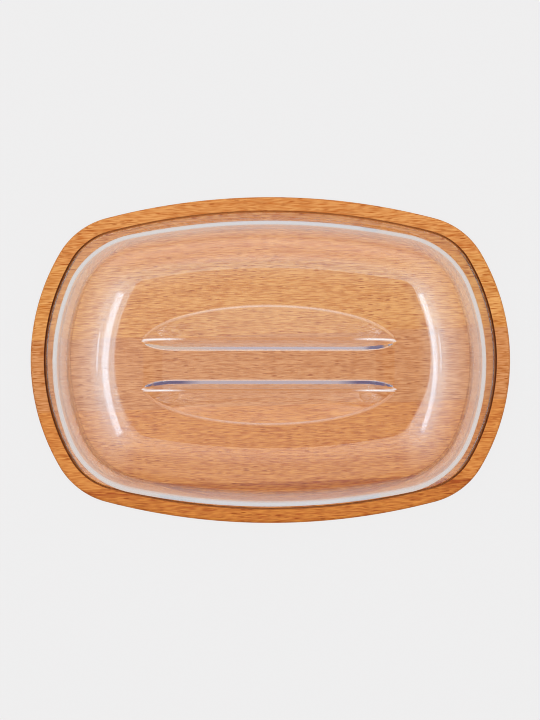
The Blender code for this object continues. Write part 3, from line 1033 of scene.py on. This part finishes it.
def make_tent():
    world = bpy.data.worlds.new("light_tent")
    world.use_nodes = True
    tree = world.node_tree
    tree.nodes.clear()
    way = add(tree, "SeparateXYZ", {0: add(tree, "TexCoord").outputs["Generated"]}).outputs
    angle = calculate(tree, "ARCCOSINE", way["Z"])
    across = calculate(tree, "MULTIPLY", way["X"], way["X"])
    along = calculate(tree, "MULTIPLY", way["Y"], way["Y"])
    sum_of_both = calculate(tree, "ADD", calculate(tree, "ADD", across, along), 0.00001)
    side_share = calculate(tree, "DIVIDE", across, sum_of_both)
    is_back = calculate(tree, "GREATER_THAN", way["Y"], 0.0)
    height = calculate(tree, "MAXIMUM", way["Z"], 0.05)
    x = calculate(tree, "DIVIDE", way["X"], height)
    y = calculate(tree, "DIVIDE", way["Y"], height)

    outside = outside_opening(tree, x, y)
    opening = calculate(tree, "MULTIPLY", x, OPENING_SLOPE)
    opening = calculate(tree, "SUBTRACT", OPENING_GLOW, opening)
    level = mix_levels(tree, outside, opening, cloth_light(tree, angle, side_share, is_back))
    limits = {0: angle, 1: COOL_ABOVE[0], 2: COOL_ABOVE[1], 3: 1.0, 4: 0.0}
    high = add(tree, "MapRange", limits).outputs[0]
    cool = calculate(tree, "MULTIPLY", high, calculate(tree, "MAXIMUM", side_share, is_back))
    tint = blend_colours(tree, cool, CLOTH_WARM, CLOTH_COOL)
    tint = blend_colours(tree, outside, (1.0, 1.0, 1.0, 1.0), tint)
    sky = add(tree, "Background", {"Color": tint, "Strength": level})
    strips = add(tree, "Background", {"Color": STRIP_TINT, "Strength": strip_light(tree, x, y)})
    both = add(tree, "AddShader", {0: sky.outputs[0], 1: strips.outputs[0]})
    output = add(tree, "OutputWorld")
    tree.links.new(both.outputs[0], output.inputs["Surface"])
    bpy.context.scene.world = world


def hang_soft_box():
    """A broad lamp overhead that lights the wood and doesn't show in the lid."""
    lamp = bpy.data.lights.new("soft_box", "AREA")
    lamp.shape = "DISK"
    lamp.size = BOX_SIZE
    lamp.energy = BOX_POWER
    box = bpy.data.objects.new("soft_box", lamp)
    box.location = (0.0, 0.0, BOX_HEIGHT)
    box.visible_camera = box.visible_glossy = box.visible_transmission = False
    bpy.context.scene.collection.objects.link(box)


make_tent()
hang_soft_box()
print("strip lights from", *STRIP_ENDS, "along, opening half", *OPENING_HALF)

# %% [markdown]
# ## Camera
# The photograph looks straight down on the box from about 78 cm above the board, a little behind
# its middle. A small shift of the lens brings the board back to the middle of the picture. Pixels
# are filtered over one pixel only, which keeps the wood's fine dashes as crisp as in the photograph.

# %% Place the camera
CAMERA_X = 0.0060
CAMERA_Y = 0.0215
CAMERA_ABOVE_BOARD = 0.780
FIELD_HEIGHT = 0.5390
SENSOR = 36.0
PICTURE_HEIGHT = 720
BOARD_MIDDLE_LEFT = -0.35
BOARD_MIDDLE_UP = -0.1

camera_data = bpy.data.cameras.new("camera")
camera_data.sensor_width = SENSOR
camera_data.lens = SENSOR * CAMERA_ABOVE_BOARD / FIELD_HEIGHT
metres_per_pixel = FIELD_HEIGHT / PICTURE_HEIGHT
camera_data.shift_x = (BOARD_MIDDLE_LEFT - CAMERA_X / metres_per_pixel) / PICTURE_HEIGHT
camera_data.shift_y = (-BOARD_MIDDLE_UP - CAMERA_Y / metres_per_pixel) / PICTURE_HEIGHT
camera = bpy.data.objects.new("camera", camera_data)
camera.location = (CAMERA_X, CAMERA_Y, board_top + CAMERA_ABOVE_BOARD)
bpy.context.scene.collection.objects.link(camera)
bpy.context.scene.camera = camera
bpy.context.scene.view_settings.view_transform = "Standard"
bpy.context.scene.cycles.filter_width = 1.0
print(f"lens {camera_data.lens:.1f} mm, shift {camera_data.shift_x:.4f}, {camera_data.shift_y:.4f}")
